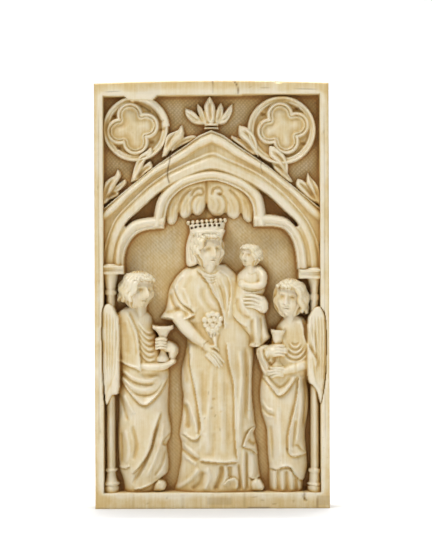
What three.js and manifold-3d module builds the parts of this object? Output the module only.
// A carved ivory relief plaque: a crowned woman with a child and two winged attendants under a
// cusped arch and a leafy gable. It is cut from one slab, so it is one closed solid.
// Millimetres, +Z up, the carved face looks along -Y, the origin is under the middle of the slab.
import * as THREE from "three";
import { mergeVertices } from "three/addons/utils/BufferGeometryUtils.js";
import Module from "manifold-3d";

// The slab and its border
const PLAQUE_WIDTH = 74;
const PLAQUE_HEIGHT = 135;
const PLAQUE_DEPTH = 13;
const GROUND_THICKNESS = 3.3;
const TOP_ARCHING = 0.8;
const TOP_RAIL = 4.4;
const STILE = 2.8;
const LEDGE = 5;
const EDGE_WEAR = 0.4;
const SPANDREL_GROUND = 2.2;

// The arch over the figures and the raking gable
const SPRINGING = 77;
const ARCH_RISE = 36;
const ARCH_BAND = 3.3;
const ARCH_BAND_AT_TOP = 6;
const ARCH_RELIEF = 6.2;
const GABLE_APEX = 119.8;
const GABLE_ROLL = 4.4;
const GABLE_RELIEF = 7.4;
const TYMPANUM_RELIEF = 4.4;
const TREFOIL_ROLL = 3.4;
const TREFOIL_RELIEF = 6.6;
const CUSP_HEIGHT = 89.2;
const TOP_LOBE_RADIUS = 14.3;
const SIDE_LOBE_RADIUS = 9.6;

// Roundels, leaves, clouds and colonnettes
const ROUNDEL_RADIUS = 10.4;
const ROUNDEL_RELIEF = 6.2;
const QUATREFOIL_LOBE = 4.2;
const QUATREFOIL_SPREAD = 4.3;
const QUATREFOIL_ROLL = 1.1;
const QUATREFOIL_TURN = 12.5;
const CROCKET_HEIGHT = 12;
const LEAF_RELIEF = 6.6;
const FINIAL_RISE = 10.8;
const CLOUD_RELIEF = 4.4;
const COLONNETTE_RADIUS = 1.45;
const COLONNETTE_RELIEF = 4.6;
const ABACUS = 3;

// The figures, by their heights above the ledge
const WOMAN_HEIGHT = 86;
const CHILD_HEIGHT = 33;
const LEFT_ATTENDANT_HEIGHT = 70.2;
const RIGHT_ATTENDANT_HEIGHT = 68.4;

// Every relief is drawn for this depth of carving, and follows the depth that the block allows.
const DRAWN_RELIEF = 9.7;
const DRAWN_LEDGE = 5;

// How boldly the drapery is folded, and how square its bodies are across
const FOLD_DEPTH = 1.4;
const FULLNESS = 2.6;

const BACK = PLAQUE_DEPTH / 2;
const GROUND = BACK - GROUND_THICKNESS;
const DEPTH_SCALE = (PLAQUE_DEPTH - GROUND_THICKNESS) / DRAWN_RELIEF;
const ROOT = -1.2;
const HALF_WIDTH = PLAQUE_WIDTH / 2;
const INSIDE = HALF_WIDTH - STILE;
const ARCH_HALF_SPAN = INSIDE + 0.4;

const wasm = await Module();
wasm.setup();

// Solids from three.js geometry
function solid(geometry) {
  const bare = geometry.index ? geometry : geometry.clone();
  bare.deleteAttribute("normal");
  bare.deleteAttribute("uv");
  const merged = mergeVertices(bare, 1e-4);
  const place = merged.attributes.position;
  const order = new Uint32Array(merged.index.array);
  let volume = 0;
  const a = new THREE.Vector3();
  const b = new THREE.Vector3();
  const c = new THREE.Vector3();
  for (let i = 0; i < order.length; i += 3) {
    a.fromBufferAttribute(place, order[i]);
    b.fromBufferAttribute(place, order[i + 1]);
    c.fromBufferAttribute(place, order[i + 2]);
    volume += a.dot(b.cross(c));
  }
  if (volume < 0) {
    for (let i = 0; i < order.length; i += 3) {
      [order[i + 1], order[i + 2]] = [order[i + 2], order[i + 1]];
    }
  }
  return new wasm.Manifold(
    new wasm.Mesh({ numProp: 3, vertProperties: place.array, triVerts: order }),
  );
}

// A point of the relief: x across, z up, and how far it stands proud of the ground.
const toward = (proud) => GROUND - proud * DEPTH_SCALE;
const relief = (x, z, proud) => new THREE.Vector3(x, toward(proud), z);

// A closed body through rings of equal length, with a fan over each end.
function loft(rings) {
  const size = rings[0].length;
  const points = rings.flat();
  const faces = [];
  for (let r = 0; r + 1 < rings.length; r++) {
    for (let i = 0; i < size; i++) {
      const here = r * size + i;
      const next = r * size + ((i + 1) % size);
      faces.push(here, next, next + size, here, next + size, here + size);
    }
  }
  for (const end of [0, rings.length - 1]) {
    const middle = new THREE.Vector3();
    rings[end].forEach((p) => middle.addScaledVector(p, 1 / size));
    points.push(middle);
    for (let i = 0; i < size; i++) {
      const pair = [end * size + i, end * size + ((i + 1) % size)];
      if (end === 0) pair.reverse();
      faces.push(points.length - 1, ...pair);
    }
  }
  const geometry = new THREE.BufferGeometry().setFromPoints(points);
  geometry.setIndex(faces);
  return solid(geometry);
}

// A smooth run of points through a few chosen ones.
function smooth(points, steps) {
  if (points.length === 2 && steps < 2) return points;
  const curve = new THREE.CatmullRomCurve3(
    points.map(([x, z]) => new THREE.Vector3(x, 0, z)),
    false,
    "centripetal",
  );
  return curve.getPoints(steps).map((p) => [p.x, p.z]);
}

// A value that runs evenly through a short list as t goes from 0 to 1.
function along(list, t) {
  if (!Array.isArray(list)) return list;
  const place = t * (list.length - 1);
  const low = Math.min(Math.floor(place), list.length - 2);
  return THREE.MathUtils.lerp(list[low], list[low + 1], place - low);
}

// A value that runs smoothly through a table of [z, value] rows as z rises.
function rising(table, z) {
  const last = table.length - 1;
  let i = 0;
  while (i < last - 1 && z > table[i + 1][0]) i++;
  const slope = (k) => {
    const low = table[Math.max(k - 1, 0)];
    const high = table[Math.min(k + 1, last)];
    return (high[1] - low[1]) / (high[0] - low[0]);
  };
  const [z0, v0] = table[i];
  const [z1, v1] = table[i + 1];
  const span = z1 - z0;
  const t = THREE.MathUtils.clamp((z - z0) / span, 0, 1);
  const s = 1 - t;
  return (
    v0 * s * s * (1 + 2 * t) + v1 * t * t * (3 - 2 * t) + span * t * s * (s * slope(i) - t * slope(i + 1))
  );
}

// Cross-sections of a strip: [share of the half width, share of the relief].
const ROUND = [[-1, 0], [-0.72, 0.72], [0, 1], [0.72, 0.72], [1, 0]];
const LEAF = [[-1, 0.5], [0, 1], [1, 0.5]];
const FINGERS = [
  [-1, 0], [-0.75, 0.95], [-0.45, 0.7], [-0.2, 1], [0.1, 0.72], [0.35, 1], [0.62, 0.7], [0.85, 0.9], [1, 0],
];
const FEATHERS = [[-1, 0], [-0.8, 0.9], [-0.4, 0.66], [0, 1], [0.4, 0.66], [0.8, 0.9], [1, 0]];

// A carved strip along a path on the face, such as a leaf, a finger, a sleeve or a moulding.
// The foot is how deep its sides go, so that it grows out of what lies behind it.
function strip(points, { half, top, foot = ROOT, section = ROUND, steps = 6 }) {
  const path = smooth(points, steps);
  const rings = path.map(([x, z], i) => {
    const [x0, z0] = path[Math.max(i - 1, 0)];
    const [x1, z1] = path[Math.min(i + 1, path.length - 1)];
    const length = Math.hypot(x1 - x0, z1 - z0) || 1;
    const [ax, az] = [(z1 - z0) / length, (x0 - x1) / length];
    const t = i / (path.length - 1);
    const wide = along(half, t);
    const proud = along(top, t);
    const low = along(foot, t);
    const ring = section.map(([u, k]) => {
      const off = wide * u;
      return relief(x + ax * off, z + az * off, low + (proud - low) * k);
    });
    ring.push(relief(x + ax * wide * 0.8, z + az * wide * 0.8, low - 0.6));
    ring.push(relief(x - ax * wide * 0.8, z - az * wide * 0.8, low - 0.6));
    return ring;
  });
  return loft(rings);
}

// A rounded boss: an ellipsoid at a place on the face.
function boss(x, z, proud, [rx, ry, rz], around = 6) {
  const ball = new THREE.SphereGeometry(1, around, 4);
  ball.rotateX(Math.PI / 2);
  ball.scale(rx, ry * DEPTH_SCALE, rz);
  ball.translate(x, toward(proud), z);
  return solid(ball);
}

// A turned form standing on the face, such as a shaft or a candlestick, from [radius, z] rows.
function turned(x, proud, profile, deep, around = 8) {
  const rows = profile.map(([r, z]) => new THREE.Vector2(r, z));
  rows.unshift(new THREE.Vector2(0, profile[0][1]));
  rows.push(new THREE.Vector2(0, profile.at(-1)[1]));
  const post = new THREE.LatheGeometry(rows, around);
  post.rotateX(Math.PI / 2);
  post.scale(1, deep * DEPTH_SCALE, 1);
  post.translate(x, toward(proud), 0);
  return solid(post);
}

// A flat plate of an outline, from behind the ground to its own relief.
function plate(shape, proud, segments = 8) {
  const slab = new THREE.ExtrudeGeometry(shape, {
    depth: (proud - ROOT) * DEPTH_SCALE,
    bevelEnabled: false,
    curveSegments: segments,
  });
  slab.rotateX(Math.PI / 2);
  slab.translate(0, toward(ROOT), 0);
  return solid(slab);
}

// A square block of the relief, such as a collar or an abacus
function block(x, z, proud, wide, tall) {
  const box = new THREE.BoxGeometry(wide, (proud - ROOT) * DEPTH_SCALE, tall);
  box.translate(x, toward((proud + ROOT) / 2), z);
  return solid(box);
}

const shapeOf = (points) => new THREE.Shape(points.map(([x, z]) => new THREE.Vector2(x, z)));

const join = (parts) => parts.flat(4).reduce((whole, part) => whole.add(part));

// The slab: a thin ground inside a border with worn edges and a top that arches a little
function slab() {
  const outline = new THREE.Shape();
  const shoulder = PLAQUE_HEIGHT - TOP_ARCHING;
  outline.moveTo(-HALF_WIDTH, 0);
  outline.lineTo(HALF_WIDTH, 0);
  outline.lineTo(HALF_WIDTH, shoulder);
  outline.quadraticCurveTo(0, PLAQUE_HEIGHT + TOP_ARCHING, -HALF_WIDTH, shoulder);
  const body = new THREE.ExtrudeGeometry(outline, {
    depth: PLAQUE_DEPTH - 2 * EDGE_WEAR,
    bevelSize: EDGE_WEAR,
    bevelOffset: -EDGE_WEAR,
    bevelThickness: EDGE_WEAR,
    bevelSegments: 1,
    curveSegments: 8,
  });
  body.rotateX(Math.PI / 2);
  body.translate(0, BACK - EDGE_WEAR, 0);
  const tall = PLAQUE_HEIGHT - TOP_RAIL - LEDGE;
  const opening = new THREE.BoxGeometry(2 * INSIDE, PLAQUE_DEPTH, tall);
  opening.translate(0, GROUND - PLAQUE_DEPTH / 2, LEDGE + tall / 2);
  return solid(body).subtract(solid(opening));
}

// An arch line of this plaque: rounded haunches and a nearly straight rise to a blunt point.
function archLine(halfSpan, rise, steps) {
  return Array.from({ length: steps + 1 }, (_, i) => {
    const across = Math.sin(Math.PI * (i / steps - 0.5));
    const up = (1 - Math.abs(across) ** 1.2) ** 0.49;
    return [halfSpan * across, SPRINGING + rise * up];
  });
}

// A moulding between two lines that run side by side, with its section across it.
function mouldingBetween(outer, inner, section, proud, foot = ROOT) {
  const rings = outer.map(([x0, z0], i) => {
    const [x1, z1] = inner[i];
    const mix = (u, k) => relief(x0 + (x1 - x0) * u, z0 + (z1 - z0) * u, foot + (proud - foot) * k);
    return [mix(0, 0), ...section.map(([u, k]) => mix(u, k)), mix(1, 0)];
  });
  return loft(rings);
}

const BAND = [[0.12, 0.84], [0.22, 0.68], [0.32, 1], [0.82, 1], [1, 0.72]];

function arch() {
  const steps = 16;
  const outer = archLine(ARCH_HALF_SPAN, ARCH_RISE, steps);
  const inner = archLine(ARCH_HALF_SPAN - ARCH_BAND, ARCH_RISE - ARCH_BAND_AT_TOP, steps);
  return mouldingBetween(outer, inner, BAND, ARCH_RELIEF);
}

// The raking gable sags a little outwards, and its roll has a fillet on each side.
const gableLine = (drop, slope, bow) => (x) => GABLE_APEX - drop - slope * Math.abs(x) - bow * x * x;
const gableTop = gableLine(0, 0.552, 0.0047);
const gableUnder = gableLine(GABLE_ROLL, 0.41, 0.0089);

function gable() {
  const reach = INSIDE + 0.5;
  const steps = 12;
  const places = Array.from({ length: steps + 1 }, (_, i) => reach * ((2 * i) / steps - 1));
  const roll = mouldingBetween(
    places.map((x) => [x, gableTop(x)]),
    places.map((x) => [x, gableUnder(x)]),
    [[0.1, 0.86], [0.2, 0.74], [0.36, 1], [0.64, 1], [1, 0.6]],
    GABLE_RELIEF,
  );
  const steepest = archLine(ARCH_HALF_SPAN - 1, ARCH_RISE - 1, 20);
  const field = shapeOf([...places.map((x) => [x, gableTop(x) - 1]), ...steepest.slice(1, -1).reverse()]);
  return [roll, plate(field, TYMPANUM_RELIEF)];
}

const TREFOIL_SECTION = [[0.05, 0.85], [0.4, 1], [0.72, 0.9], [0.82, 0.7], [1, 0.68]];

// The cusped trefoil that hangs under the arch: a round top lobe and two quarter lobes
function trefoil() {
  const arc = (x, z, radius, from, to, steps) =>
    Array.from({ length: steps + 1 }, (_, i) => {
      const angle = THREE.MathUtils.degToRad(THREE.MathUtils.lerp(from, to, i / steps));
      return [x + radius * Math.cos(angle), z + radius * Math.sin(angle)];
    });
  const lobe = (x, z, radius, from, to, steps) =>
    mouldingBetween(
      arc(x, z, radius + TREFOIL_ROLL, from, to, steps),
      arc(x, z, radius, from, to, steps),
      TREFOIL_SECTION,
      TREFOIL_RELIEF,
    );
  const parts = [lobe(0, CUSP_HEIGHT, TOP_LOBE_RADIUS, 1, 179, 12)];
  for (const side of [-1, 1]) {
    const cx = side * (ARCH_HALF_SPAN - ARCH_BAND - TREFOIL_ROLL - SIDE_LOBE_RADIUS + 0.4);
    const cz = CUSP_HEIGHT - SIDE_LOBE_RADIUS;
    const line = (offset) => {
      const quarter = arc(cx, cz, SIDE_LOBE_RADIUS + offset, 90, side < 0 ? 182 : -2, 5);
      return [[side * (TOP_LOBE_RADIUS + 0.3), CUSP_HEIGHT + offset * 0.9], ...quarter];
    };
    parts.push(mouldingBetween(line(TREFOIL_ROLL), line(0), TREFOIL_SECTION, TREFOIL_RELIEF));
  }
  return parts;
}

// The outline of four round lobes about a centre: each lobe runs between its two cusps.
function quatrefoil(lobe) {
  const half = QUATREFOIL_SPREAD * Math.SQRT1_2;
  const reach = (half + Math.sqrt(Math.max(lobe * lobe - half * half, 0))) * Math.SQRT1_2;
  const open = Math.atan2(reach, reach - QUATREFOIL_SPREAD);
  const points = [];
  for (let k = 0; k < 4; k++) {
    const turn = THREE.MathUtils.degToRad(QUATREFOIL_TURN + 90 * k);
    for (let i = 0; i < 6; i++) {
      const angle = turn + open * ((2 * i) / 5 - 1);
      points.push([
        QUATREFOIL_SPREAD * Math.cos(turn) + lobe * Math.cos(angle),
        QUATREFOIL_SPREAD * Math.sin(turn) + lobe * Math.sin(angle),
      ]);
    }
  }
  return shapeOf(points);
}

// A round moulded frame with a quatrefoil of four sunk lobes, close under the rail
function roundel(side) {
  const cx = side * (INSIDE - ROUNDEL_RADIUS - 0.6);
  const cz = PLAQUE_HEIGHT - TOP_RAIL - ROUNDEL_RADIUS - 0.3;
  const dish = new THREE.LatheGeometry(
    [[0, ROOT], [1, ROOT], [1, 0.84], [0.95, 1], [0.86, 0.9], [0.84, 0.6], [0, 0.6]].map(
      ([r, proud]) => {
        const rise = proud * (proud > 0 ? ROUNDEL_RELIEF : 1) * DEPTH_SCALE;
        return new THREE.Vector2(r * ROUNDEL_RADIUS, rise);
      },
    ),
    16,
  );
  dish.rotateX(Math.PI);
  dish.translate(cx, GROUND, cz);
  const outline = quatrefoil(QUATREFOIL_LOBE);
  outline.holes.push(quatrefoil(QUATREFOIL_LOBE - QUATREFOIL_ROLL));
  const frame = new THREE.ExtrudeGeometry(outline, {
    depth: ROUNDEL_RELIEF * 0.97 * DEPTH_SCALE,
    bevelEnabled: false,
  });
  frame.rotateX(Math.PI / 2);
  frame.translate(cx, GROUND, cz);
  return [solid(dish), solid(frame)];
}

// A curled leaf on the gable: a broad main blade and a smaller lobe that rolls away from it
function crocket(side, share) {
  const x = INSIDE * share;
  const size = CROCKET_HEIGHT / 12;
  const seat = gableTop(x) - 1.5;
  const at = (across, up) => [side * (x + size * across), seat + size * up];
  const blade = strip([at(0.8, 0), at(0.6, 4), at(-0.8, 7.2), at(-2.6, 9.2), at(-5, 10.6)], {
    half: [1.5, 1.9, 2.2, 1.7, 0.5].map((w) => w * size),
    top: [4.6, 5.8, LEAF_RELIEF, LEAF_RELIEF, 5],
    section: LEAF,
    steps: 5,
  });
  const lobe = strip([at(-0.8, 1), at(-2, 4), at(-4.8, 6.6), at(-7.4, 7.4)], {
    half: [1.5, 1.9, 1.7, 0.6].map((w) => w * size),
    top: [4.4, 5.6, 5.8, 4.4],
    section: LEAF,
    steps: 4,
  });
  return [blade, lobe];
}

// The leaf finial that crowns the gable, over a double collar
function finial() {
  const rise = FINIAL_RISE;
  const at = (x, up) => [x * rise * 0.1, GABLE_APEX + rise * up];
  const leaf = (points, half, top) =>
    strip(points, { half: half.map((w) => w * rise * 0.1), top, section: LEAF, steps: 3 });
  const parts = [leaf([at(0, 0.05), at(-0.1, 0.6), at(-0.5, 0.99)], [1.1, 1.9, 0.4], [5, 7, 5.4])];
  for (const side of [-1, 1]) {
    parts.push(
      leaf([at(side, 0.1), at(side * 2.2, 0.45), at(side * 3.9, 0.8)], [0.9, 1.2, 0.4], [5, 6.4, 5]),
    );
    parts.push(
      leaf([at(side * 1.6, 0.1), at(side * 4.4, 0.3), at(side * 7, 0.7)], [1, 1.8, 0.5], [5, 6, 4.8]),
    );
  }
  for (const up of [-0.02, 0.09]) {
    parts.push(block(0, GABLE_APEX + rise * up, LEAF_RELIEF, rise * 0.46, rise * 0.09));
  }
  return parts;
}

// Curled cloud lobes that hang inside the top lobe of the trefoil
function clouds() {
  const parts = [];
  for (const side of [-1, 1]) {
    const at = (out, up) => [side * TOP_LOBE_RADIUS * out, CUSP_HEIGHT + TOP_LOBE_RADIUS * up];
    const hang = (points, half) =>
      strip(points, { half, top: [0.7, 1, 0.9].map((share) => share * CLOUD_RELIEF), steps: 3 });
    parts.push(hang([at(0.14, 0.95), at(0.22, 0.76), at(0.34, 0.56)], [2.2, 2.8, 1.6]));
    parts.push(hang([at(0.5, 0.8), at(0.52, 0.52), at(0.42, 0.2)], [2.6, 3.2, 1.6]));
    parts.push(hang([at(0.8, 0.55), at(0.84, 0.3), at(0.8, 0.08)], [1.8, 2.2, 1.4]));
  }
  return parts;
}

// An engaged colonnette with its capital and moulded foot
function colonnette(side, capital) {
  const r = COLONNETTE_RADIUS;
  const foot = LEDGE - 0.5;
  const x = side * (INSIDE - r);
  const deep = COLONNETTE_RELIEF / (r * 1.6);
  const shaft = turned(
    x - side * 0.1,
    COLONNETTE_RELIEF * 0.28,
    [
      [r * 1.9, foot],
      [r * 1.9, foot + 3.2],
      [r * 1.15, foot + 7],
      [r * 1.4, foot + 7.5],
      [r, foot + 8],
      [r, capital - 9],
      [r * 1.35, capital - 8.4],
      [r, capital - 7.8],
      [r * 2, capital - 1.8],
    ],
    deep,
    7,
  );
  return [shaft, block(side * (INSIDE - 3.4), capital - 0.4, COLONNETTE_RELIEF + 1.4, 7, ABACUS)];
}

// A draped figure's own frame. Its points are drawn in millimetres on the plaque at its drawn
// height, scale about the middle of its foot and stand where that foot is put on the ledge.
function figureFrame(height, drawnHeight, drawnX, footX) {
  const scale = height / drawnHeight;
  const at = (x, z) => [footX + (x - drawnX) * scale, LEDGE + (z - DRAWN_LEDGE) * scale];
  return { scale, at, list: (points) => points.map(([x, z]) => at(x, z)) };
}

// A draped body from stations of [z, left edge, right edge, relief], with its folds carved in
function drapedBody(frame, stations, folds, columns, rows) {
  const placed = stations.map(([z, left, right, proud]) => {
    const [x0, z0] = frame.at(left, z);
    return [z0, x0, frame.at(right, z)[0], proud];
  });
  const column = (k) => placed.map((row) => [row[0], row[k]]);
  const edges = [column(1), column(2), column(3)];
  const low = placed[0][0];
  const high = placed.at(-1)[0];
  const swell = (u) => (1 - Math.min(Math.abs(u), 1) ** FULLNESS) ** 0.55;
  const carved = folds.map(({ points, width, rise }) => ({
    path: smooth(frame.list(points), 12),
    width: width * frame.scale,
    rise: rise * FOLD_DEPTH,
  }));
  const surface = (x, z) => {
    const [x0, x1, proud] = edges.map((edge) => rising(edge, z));
    const form = swell((2 * x - x0 - x1) / (x1 - x0));
    const draped = carved.reduce((sum, { path, width, rise }) => {
      const near = Math.min(...path.map(([px, pz]) => Math.hypot(px - x, pz - z)));
      return sum + rise * Math.exp(-((near / width) ** 2));
    }, 0);
    return (proud + draped - FOLD_DEPTH / 2) * form;
  };
  const rings = Array.from({ length: rows + 1 }, (_, i) => {
    const z = low + ((high - low) * i) / rows;
    const [x0, x1] = edges.map((edge) => rising(edge, z));
    const ring = Array.from({ length: columns + 1 }, (_, j) => {
      const t = (2 * j) / columns - 1;
      const x = (x0 + x1) / 2 + ((x1 - x0) / 2) * Math.sign(t) * Math.abs(t) ** 0.82;
      return relief(x, z, Math.abs(t) === 1 ? 0 : surface(x, z));
    });
    ring.push(relief(x1 - 0.3, z, ROOT), relief(x0 + 0.3, z, ROOT));
    return ring;
  });
  return loft(rings);
}

// A fold that the carver cut along a path: how wide it is, and how far it rises, or sinks below 0.
const crease = (points, width = 1.3, rise = 1.2) => ({ points, width, rise });

// A head with a calm, evenly proportioned face: brow, nose, lips and chin in thirds. It is one
// form, swept from the chin to the crown, with its features raised where they fall.
function head(frame, { x, z, proud, size, turn, lean = 0 }) {
  const [cx, cz] = frame.at(x, z);
  const around = 12;
  const rows = 9;
  const feature = (angle, up, atAngle, atUp, wide, tall) =>
    Math.exp(-(((angle - atAngle) / wide) ** 2) - ((up - atUp) / tall) ** 2);
  const points = [];
  for (let i = 0; i <= rows; i++) {
    const up = -Math.cos((Math.PI * i) / rows);
    const wide = Math.sqrt(Math.max(1 - up * up, 0)) * (up < 0 ? 0.7 + 0.06 * up : 0.72);
    for (let j = 0; j < around; j++) {
      const angle = (2 * Math.PI * j) / around - Math.PI;
      const nose = 0.24 * feature(angle, up, 0, -0.16, 0.24, 0.24);
      const chin = 0.1 * feature(angle, up, 0, -0.9, 0.8, 0.2);
      const lips = 0.07 * feature(angle, up, 0, -0.5, 0.4, 0.14);
      const sockets = [0.52, -0.52].map((eye) => feature(angle, up, eye, 0.02, 0.3, 0.16));
      const reach = wide + nose + chin + lips - 0.09 * (sockets[0] + sockets[1]);
      points.push([reach * Math.sin(angle), -reach * 1.12 * Math.cos(angle), up]);
    }
  }
  const rings = [];
  for (let i = 0; i <= rows; i++) {
    rings.push(
      points.slice(i * around, (i + 1) * around).map(([px, py, pz]) =>
        new THREE.Vector3(px, py, pz)
          .multiplyScalar(size * frame.scale)
          .applyAxisAngle(new THREE.Vector3(0, 0, 1), THREE.MathUtils.degToRad(turn))
          .applyAxisAngle(new THREE.Vector3(0, 1, 0), THREE.MathUtils.degToRad(lean))
          .add(relief(cx, cz, proud)),
      ),
    );
  }
  return loft(rings.slice(1, -1));
}

// Wavy locks that fall from a crown point, each a tapering strip
function locks(frame, list, top) {
  return list.map((points) =>
    strip(frame.list(points), {
      half: [0.9, 1.5, 1.3, 0.6],
      top: [top - 0.8, top, top - 0.4, top - 1.2],
      section: LEAF,
      steps: 3,
    }),
  );
}

// A hand with its fingers side by side, from the wrist to their tips
function hand(frame, points, half, proud) {
  return strip(frame.list(points), {
    half,
    top: [proud - 0.5, proud, proud - 0.2, proud - 1.2],
    section: FINGERS,
    steps: 3,
  });
}

// The crowned woman who carries the child
function woman() {
  const frame = figureFrame(WOMAN_HEIGHT, 86, 2, 2);
  const body = drapedBody(
    frame,
    [
      [4.4, -12.2, 16.2, 7.4],
      [9, -11, 15.4, 7.4],
      [14, -10.1, 14.8, 7.6],
      [20, -10, 14, 7.8],
      [26, -10.2, 13.6, 7.8],
      [34, -9.6, 12.9, 7.8],
      [42, -10, 12.8, 7.8],
      [50, -8.6, 13.6, 8],
      [58, -9.4, 14.4, 8],
      [66, -10.6, 12.6, 7.6],
      [72, -10.4, 9.6, 7.2],
      [75, -9, 7.2, 6.2],
      [77, -4.6, 4.4, 5],
    ],
    [
      crease([[-7.3, 52], [-6.6, 43], [-5, 35], [-3.8, 27], [-4.6, 22]], 1.4, 1.5),
      crease([[-8.2, 36], [-7, 30], [-6.6, 24.5]], 1.1, -1.2),
      crease([[-9.8, 23.4], [-7.4, 22], [-4.6, 22]], 1.2, 1.2),
      crease([[-10, 19.4], [-6, 16.4], [-3, 14.6]], 1.3, -1),
      crease([[4.5, 52], [6.2, 42], [7, 32], [7.3, 22], [8, 14]], 1.3, 1.4),
      crease([[10.4, 50], [10.4, 42], [10.2, 34], [10.4, 26]], 1.2, -1.2),
      crease([[14, 25], [11, 22.6], [9.9, 19.8], [14.2, 17]], 1.2, 1.1),
      crease([[-3.6, 13], [2, 12.6], [7.6, 13]], 1.1, -1.2),
      crease([[-4.3, 12.4], [-7, 9.4], [-11.4, 7]], 1.3, 1.2),
      crease([[2.8, 12.6], [2.2, 9], [0.6, 5.6]], 1.2, -1.2),
      crease([[9.2, 19], [9.4, 12], [9, 6]], 1.1, -1.1),
      crease([[-5, 75.5], [-1, 71], [2, 65.5], [3.7, 60], [3.8, 56]], 1.2, 1.2),
      crease([[-4, 69], [-3, 65.6], [-1, 62.6]], 1.2, -0.9),
    ],
    13,
    28,
  );
  const sleeve = strip(frame.list([[-7.6, 75.6], [-10.8, 69.6], [-12, 64.4], [-12.2, 60]]), {
    half: [1, 3, 3.7, 4],
    top: [5.6, 8.2, 8.8, 8.2],
    steps: 4,
  });
  const forearm = strip(frame.list([[-9.6, 60.6], [-7.6, 56.4], [-4.4, 52.8], [-1.2, 49.4]]), {
    half: [2.8, 2.3, 1.9, 1.5],
    top: [8, 8.8, 9, 8.8],
    steps: 3,
  });
  const nearHand = hand(frame, [[-2.4, 50.6], [0, 48.6], [1.4, 47], [2.6, 45.2]], [1.6, 2.3, 2.2, 1.6], 9.2);
  const farHand = hand(frame, [[17, 63.4], [15, 64.2], [12.6, 65], [10.2, 65.4]], [1.7, 2.5, 2.4, 2], 9.2);
  const posy = [0, 1, 2, 3, 4].map((k) => {
    const turn = (2 * Math.PI * (k + 0.25)) / 5;
    const [px, pz] = frame.at(0.4 + 2 * Math.cos(turn), 57.9 + 2 * Math.sin(turn));
    return boss(px, pz, 7.6, [1.6, 1.9, 1.6]);
  });
  const stalk = frame.list([[1.2, 50.4], [1, 56]]);
  const stems = strip(stalk, { half: [0.7, 1.3], top: 9, section: LEAF, steps: 1 });
  const face = head(frame, { x: 0.2, z: 81.2, proud: 4.6, size: 4.9, turn: 22, lean: 3 });
  const neck = strip(frame.list([[-0.8, 73.6], [-0.2, 78.4]]), { half: [3.2, 2.4], top: [7.4, 7], steps: 1 });
  const hair = locks(
    frame,
    [
      [[0.8, 86.4], [-2, 86], [-3.8, 83.8], [-4.2, 80.4]],
      [[-0.4, 86.4], [2, 86.2], [3.6, 84.8], [4, 82.4]],
    ],
    7,
  );
  const veil = strip(frame.list([[-4.6, 87], [-6.4, 83], [-6.2, 79.6], [-5.4, 77]]), {
    half: [1.6, 1.7, 1.9, 1.1],
    top: [5, 5.6, 6, 5],
    steps: 4,
  });
  const [bandX, bandZ] = frame.at(-1.4, 87.8);
  const rim = 5.6 * frame.scale;
  const flat = 0.72;
  const tilt = THREE.MathUtils.degToRad(4);
  const crown = new THREE.CylinderGeometry(rim, rim * 0.93, 4 * frame.scale, 14);
  crown.rotateX(Math.PI / 2);
  crown.scale(1, flat * DEPTH_SCALE, 1);
  crown.rotateY(-tilt);
  crown.translate(bandX, toward(4.2), bandZ);
  const pearls = [-3, -2, -1, 0, 1, 2, 3].map((k) => {
    const turn = THREE.MathUtils.degToRad(24 * k);
    const across = rim * Math.sin(turn);
    const up = bandZ + 2.2 * frame.scale + across * Math.sin(tilt);
    return boss(bandX + across, up, 4.2 + rim * flat * Math.cos(turn), [1, 0.9, 1], 5);
  });
  const dress = [body, sleeve, forearm, nearHand, farHand, posy, stems];
  return [...dress, face, neck, hair, veil, solid(crown), pearls];
}

// The child on the woman's arm, turned towards her
function child() {
  const womanFrame = figureFrame(WOMAN_HEIGHT, 86, 2, 2);
  const size = CHILD_HEIGHT / 33;
  const [seatX, seatZ] = [14, 51.4];
  const at = (x, z) => womanFrame.at(seatX + (x - seatX) * size, seatZ + (z - seatZ) * size);
  const frame = { scale: womanFrame.scale * size, at, list: (points) => points.map(([x, z]) => at(x, z)) };
  const body = drapedBody(
    frame,
    [
      [51.4, 11.2, 18.2, 6.4],
      [55, 10.8, 18.4, 7.8],
      [60, 7.2, 17.2, 8.4],
      [66, 6.2, 16.8, 8.4],
      [71, 7.6, 17.3, 8],
      [75, 9.6, 16.2, 7],
      [77, 11, 14.6, 6],
    ],
    [
      crease([[14, 60], [13.8, 56], [14, 52]], 1.2, -1.2),
      crease([[17, 60], [16.8, 56], [16.4, 52]], 1, -0.8),
      crease([[15.4, 68], [12, 67.4], [8, 69.4]], 1, -0.9),
      crease([[8.6, 66], [7.6, 62], [10.6, 58.6]], 1.1, 0.9),
    ],
    7,
    10,
  );
  const arm = strip(frame.list([[15.2, 74], [15.9, 71.6], [14.2, 70], [9.4, 70.8]]), {
    half: [1.7, 1.6, 1.4, 1.2],
    top: [8.6, 9.2, 9.4, 9],
    steps: 5,
  });
  const [footX, footZ] = frame.at(13, 51.2);
  const foot = boss(footX, footZ, 4.4, [1.6, 2.6, 1.1]);
  const face = head(frame, { x: 12.1, z: 79.6, proud: 4.8, size: 3.9, turn: -38, lean: -6 });
  const hair = locks(frame, [[[10.4, 82.6], [13.2, 83.2], [15.4, 81], [15.6, 77.6]]], 6.8);
  return [body, arm, foot, face, hair];
}

// A candlestick with a wide pan, held in both hands, hung from the middle of its rim
function candlestick(frame, x, z) {
  const [middle, rim] = frame.at(x, z);
  const profile = [[2.4, -10.6], [0.9, -7.6], [0.9, -4.4], [1.8, -2.4], [3.3, -0.8], [3.2, 0]];
  const scaled = profile.map(([r, down]) => [r * frame.scale, rim + down * frame.scale]);
  return turned(middle, 6.6, scaled, 0.86, 7);
}

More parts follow.
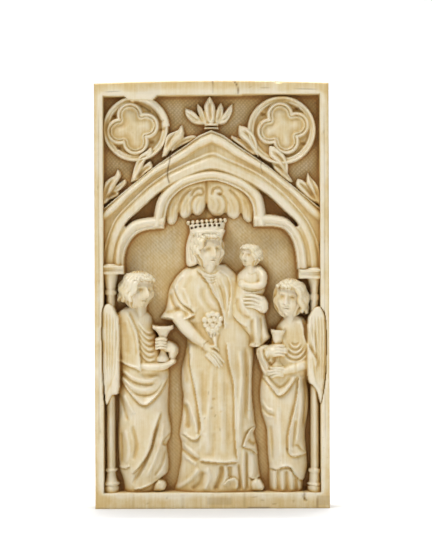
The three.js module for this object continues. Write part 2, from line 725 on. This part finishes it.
// The winged attendant on the left, who turns towards the woman
function leftAttendant() {
  const frame = figureFrame(LEFT_ATTENDANT_HEIGHT, 70.2, -22, 12.2 - INSIDE);
  const body = drapedBody(
    frame,
    [
      [4.4, -28.4, -15.6, 6.4],
      [9, -28.9, -14.9, 6.8],
      [14, -29.9, -14.1, 7],
      [19, -30.2, -14.2, 7],
      [26, -30.2, -13.4, 7.2],
      [34, -30.1, -13.9, 7.4],
      [42, -29.9, -14, 7.6],
      [48, -30.6, -15.2, 7.6],
      [55, -31.6, -17.2, 7.2],
      [60, -31.2, -19.2, 6.4],
      [63.6, -28.6, -20.6, 5.4],
    ],
    [
      crease([[-26.8, 62.5], [-24, 56], [-23, 50], [-22.6, 44]], 1.2, 1.2),
      crease([[-29.5, 43.4], [-25, 39.6], [-21, 38.4], [-17, 40]], 1.1, -1),
      crease([[-29.5, 40.5], [-26, 35.8], [-21.8, 32.6], [-18, 35], [-15, 39]], 1.3, 1.4),
      crease([[-28, 38], [-26, 33], [-24.6, 27]], 1.2, -1),
      crease([[-28.2, 27], [-24, 23], [-21, 22], [-18, 24.6]], 1.2, 1),
      crease([[-16.3, 31], [-18.5, 24], [-20.6, 17], [-25.2, 10.4]], 1.3, 1.3),
      crease([[-16, 24], [-17.6, 17], [-21.6, 9.4]], 1.1, -1.1),
      crease([[-30, 12.5], [-28, 12.2], [-26, 13]], 1, 1),
      crease([[-14.4, 11], [-18.6, 7.8], [-24, 5.6]], 1.1, 1.1),
      crease([[-22.6, 54.6], [-20, 52.4], [-17.6, 54.6]], 1, 0.9),
      crease([[-22.6, 50.6], [-20, 48.4], [-17.4, 50.6]], 1, 0.9),
    ],
    10,
    21,
  );
  const sleeve = strip(frame.list([[-22.4, 44.8], [-18, 44.6], [-13.6, 45.4], [-11.8, 46.4]]), {
    half: [1.7, 1.7, 1.6, 0.9],
    top: [8, 8.8, 9, 8.2],
    steps: 3,
  });
  const cuff = strip(frame.list([[-19, 52.2], [-16.4, 52.2], [-14, 51.2], [-11.8, 49.8]]), {
    half: [1.4, 1.9, 2.4, 2.2],
    top: [8.4, 9, 8.6, 7],
    steps: 3,
  });
  const stick = candlestick(frame, -15.7, 57.9);
  const face = head(frame, { x: -22.3, z: 68.2, proud: 4.4, size: 4.9, turn: 40, lean: -2 });
  const neck = strip(frame.list([[-23.4, 61.6], [-23, 65.6]]), { half: [2.6, 2.1], top: [6, 5.8], steps: 1 });
  const hair = locks(
    frame,
    [
      [[-20, 73.6], [-23.4, 74.2], [-26.8, 71.8], [-27.8, 67.4]],
      [[-24.4, 72], [-26, 69.6], [-26, 66.6], [-27.4, 64.2]],
    ],
    6.2,
  );
  const feathers = wing(frame, [[-33.2, 64], [-33.4, 56], [-33.2, 44], [-33.3, 34]], [1.1, 1.7, 1.6, 0.4]);
  return [body, sleeve, cuff, stick, face, neck, hair, feathers];
}

// The winged attendant on the right, seen nearly from the front
function rightAttendant() {
  const frame = figureFrame(RIGHT_ATTENDANT_HEIGHT, 68.4, 23, INSIDE - 11.2);
  const body = drapedBody(
    frame,
    [
      [4.4, 17.9, 28.9, 6.4],
      [9, 17.9, 28.6, 6.6],
      [12.4, 17.8, 30.2, 6.8],
      [19, 17.4, 30, 7],
      [26, 16.7, 30, 7.2],
      [34, 15.2, 30.9, 7.4],
      [41, 15.8, 30.6, 7.6],
      [47, 16.4, 33, 7.6],
      [53, 18.4, 33.6, 7.2],
      [58, 20.4, 31.4, 6.4],
      [61, 22, 28.6, 5.4],
    ],
    [
      crease([[28.3, 60], [29.2, 54], [31, 50], [33, 45.4]], 1.2, 1.2),
      crease([[16, 41.5], [17.5, 39.5], [21, 35.5], [25, 39], [26.5, 41.5]], 1.3, 1.4),
      crease([[27.5, 41.5], [27, 36], [26, 31], [24.2, 23], [24.2, 17.6]], 1.3, 1.3),
      crease([[28.6, 40], [28.6, 34], [27.6, 28], [27, 22]], 1.1, -1),
      crease([[15.5, 33], [18, 30.6], [21, 29]], 1.1, -0.9),
      crease([[24, 19], [25.6, 16.4], [29.8, 17]], 1.1, 1.1),
      crease([[17.9, 13.2], [21, 12.8], [24, 13.4], [26, 11], [29, 8.6]], 1.1, 1.1),
      crease([[20.7, 11], [20.6, 8.6], [20.8, 5.6]], 1, -0.9),
      crease([[24.6, 11], [24.8, 8.6], [25.4, 5.6]], 1, -0.9),
      crease([[23.4, 51], [26.4, 46.8], [29.6, 51]], 1, 0.9),
    ],
    10,
    21,
  );
  const forearm = strip(frame.list([[32, 45], [27.6, 43.8], [21.6, 43.2], [16.2, 43.2]]), {
    half: [1.6, 1.9, 1.7, 0.8],
    top: [7.8, 8.8, 9, 8],
    steps: 3,
  });
  const cuff = strip(frame.list([[14.8, 48.6], [17.4, 48.8], [20.4, 49.6], [23.4, 49.6]]), {
    half: [1.9, 2.2, 2, 1.6],
    top: [6.6, 8.4, 9, 8.6],
    steps: 3,
  });
  const stick = candlestick(frame, 21, 56.8);
  const face = head(frame, { x: 23.9, z: 64.9, proud: 4.6, size: 4.9, turn: -14, lean: -4 });
  const neck = strip(frame.list([[24.6, 57.6], [24.4, 61.6]]), { half: [2.6, 2.1], top: [6, 5.8], steps: 1 });
  const hair = locks(
    frame,
    [
      [[22, 71.6], [25.4, 72], [28.4, 70], [29.2, 65]],
      [[27, 69.6], [28.6, 66.6], [28.2, 63.6], [29, 61.2]],
      [[22.4, 71.2], [21.2, 70], [20.8, 67.6], [21, 65.4]],
    ],
    6.2,
  );
  const feathers = wing(frame, [[33.6, 62.6], [34.8, 54], [34.6, 44], [34.2, 33.6]], [1, 1.6, 1.5, 0.4]);
  return [body, forearm, cuff, stick, face, neck, hair, feathers];
}

// A wing of long feathers that stands close behind an attendant, against the stile
function wing(frame, points, spread) {
  return strip(frame.list(points), { half: spread, top: [3.4, 3.8, 3, 2.2], section: FEATHERS, steps: 5 });
}

// Spandrel ground: the field outside the gable is sunk less than the one behind the figures.
function spandrels() {
  const reach = HALF_WIDTH - STILE / 2;
  const under = [-reach, 0, reach].map((x) => [x, gableTop(x) - 1]);
  const over = [reach, -reach].map((x) => [x, PLAQUE_HEIGHT - TOP_RAIL / 2]);
  return plate(shapeOf([...under, ...over]), SPANDREL_GROUND);
}

const carving = join([
  slab(),
  spandrels(),
  arch(),
  gable(),
  trefoil(),
  [-1, 1].map((side) => [roundel(side), [0.95, 0.7, 0.41].map((share) => crocket(side, share))]),
  finial(),
  clouds(),
  colonnette(-1, SPRINGING - 0.9),
  colonnette(1, SPRINGING - 2.4),
  woman(),
  child(),
  leftAttendant(),
  rightAttendant(),
]);

// Nothing stands outside the block that the plaque was cut from, and the ivory is solid: a
// pocket shut in between overlapping forms is filled.
const uncut = new THREE.BoxGeometry(PLAQUE_WIDTH, PLAQUE_DEPTH, 2 * PLAQUE_HEIGHT);
uncut.translate(0, 0, PLAQUE_HEIGHT);
const shells = carving.intersect(solid(uncut)).decompose();
const plaque = join(shells.filter((shell) => shell.volume() > 0));

const ivory = new THREE.MeshStandardMaterial({ color: 0xcdb48c, roughness: 0.45, metalness: 0 });
const made = plaque.getMesh();
const geometry = new THREE.BufferGeometry();
const corners = new Float32Array(made.numVert * 3);
for (let i = 0; i < made.numVert; i++) {
  corners.set(made.vertProperties.subarray(i * made.numProp, i * made.numProp + 3), i * 3);
}
geometry.setAttribute("position", new THREE.BufferAttribute(corners, 3));
geometry.setIndex(new THREE.BufferAttribute(new Uint32Array(made.triVerts), 1));
geometry.computeVertexNormals();

const plaqueMesh = new THREE.Mesh(geometry, ivory);
plaqueMesh.name = "plaque";
const group = new THREE.Group();
group.add(plaqueMesh);
export default group;
